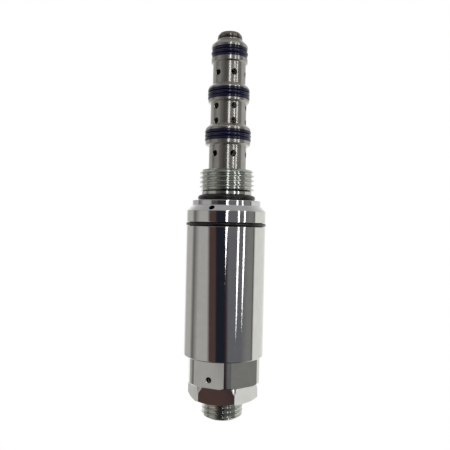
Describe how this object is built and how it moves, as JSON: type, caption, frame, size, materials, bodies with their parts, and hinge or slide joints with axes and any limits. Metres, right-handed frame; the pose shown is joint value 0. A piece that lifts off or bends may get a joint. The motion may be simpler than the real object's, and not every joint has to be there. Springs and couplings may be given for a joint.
{
  "type": "cartridge valve",
  "caption": "Screw-in hydraulic cartridge valve: ported sleeve with sliding spool, sealed lands, polished spring housing, hexagon end cap, adjusting plug and lock nut.",
  "frame": {"origin": "centre of the seat face, the housing shoulder that lands on the block under the neck thread", "axes": "+Z along the valve's axis towards the nose of the sleeve; -Y is the side with the drain hole and the wire hole"},
  "size_m": [0.035, 0.035, 0.1678],
  "materials": {
    "sleeve_steel": "satin, ground round",
    "polished_steel": "polished",
    "zinc_steel": "bright zinc",
    "oxide_steel": "brown-black oxide",
    "ground_steel": "fine ground",
    "seat_steel": "turned",
    "spring_steel": "drawn wire",
    "navy_rubber": "satin",
    "navy_backup": "satin",
    "black_rubber": "satin"
  },
  "bodies": {
    "housing": {"sleeve": "sleeve_steel", "nose_plug": "oxide_steel", "nose_washer": "black_rubber", "sleeve_circlip": "spring_steel", "sleeve_tail_o_ring": "black_rubber", "seal_1_upper_backup": "navy_backup", "seal_1_o_ring": "navy_rubber", "seal_1_lower_backup": "navy_backup", "seal_2_upper_backup": "navy_backup", "seal_2_o_ring": "navy_rubber", "seal_2_lower_backup": "navy_backup", "seal_3_upper_backup": "navy_backup", "seal_3_o_ring": "navy_rubber", "seal_3_lower_backup": "navy_backup", "spring_housing": "polished_steel", "neck_o_ring": "black_rubber", "body_o_ring": "black_rubber", "end_cap": "polished_steel", "end_cap_o_ring": "black_rubber"},
    "spool_unit": {"spool": "ground_steel", "upper_spring_seat": "seat_steel"},
    "piston": {"pilot_piston": "ground_steel"},
    "spring_stack": {"lower_spring_seat": "seat_steel", "spring_shim": "seat_steel", "main_spring": "spring_steel", "inner_spring": "spring_steel"},
    "adjuster": {"adjusting_plug": "zinc_steel", "plug_o_ring": "black_rubber"},
    "nut_carrier": {"lock_nut_seal": "black_rubber"},
    "nut": {"lock_nut": "polished_steel"}
  },
  "joints": [
    {"name": "spool_slide", "type": "slide", "parent": "housing", "child": "spool_unit", "axis": [0, 0, 1], "range_m": [-0.0035, 0], "stiffness_N_per_m": 6000, "springref_m": 0.002, "deforming": ["main_spring", "inner_spring"]},
    {"name": "piston_slide", "type": "slide", "parent": "housing", "child": "piston", "axis": [0, 0, 1], "range_m": [-0.0035, 0]},
    {"name": "adjust_feed", "type": "slide", "parent": "housing", "child": "spring_stack", "axis": [0, 0, 1], "range_m": [-0.003, 0.003]},
    {"name": "adjust_turn", "type": "hinge", "parent": "spring_stack", "child": "adjuster", "pos_m": [0, 0, -0.07], "axis": [0, 0, 1], "range_deg": [-540, 540]},
    {"name": "nut_feed", "type": "slide", "parent": "housing", "child": "nut_carrier", "axis": [0, 0, 1], "range_m": [-0.003, 0]},
    {"name": "nut_turn", "type": "hinge", "parent": "nut_carrier", "child": "nut", "pos_m": [0, 0, -0.082], "axis": [0, 0, 1], "range_deg": [-540, 0]}
  ],
  "couplings": [
    {"joint": "piston_slide", "follows": "spool_slide", "ratio": 1},
    {"joint": "adjust_turn", "follows": "adjust_feed", "rad_per_m": 3141.6},
    {"joint": "nut_turn", "follows": "nut_feed", "rad_per_m": 3141.6}
  ]
}
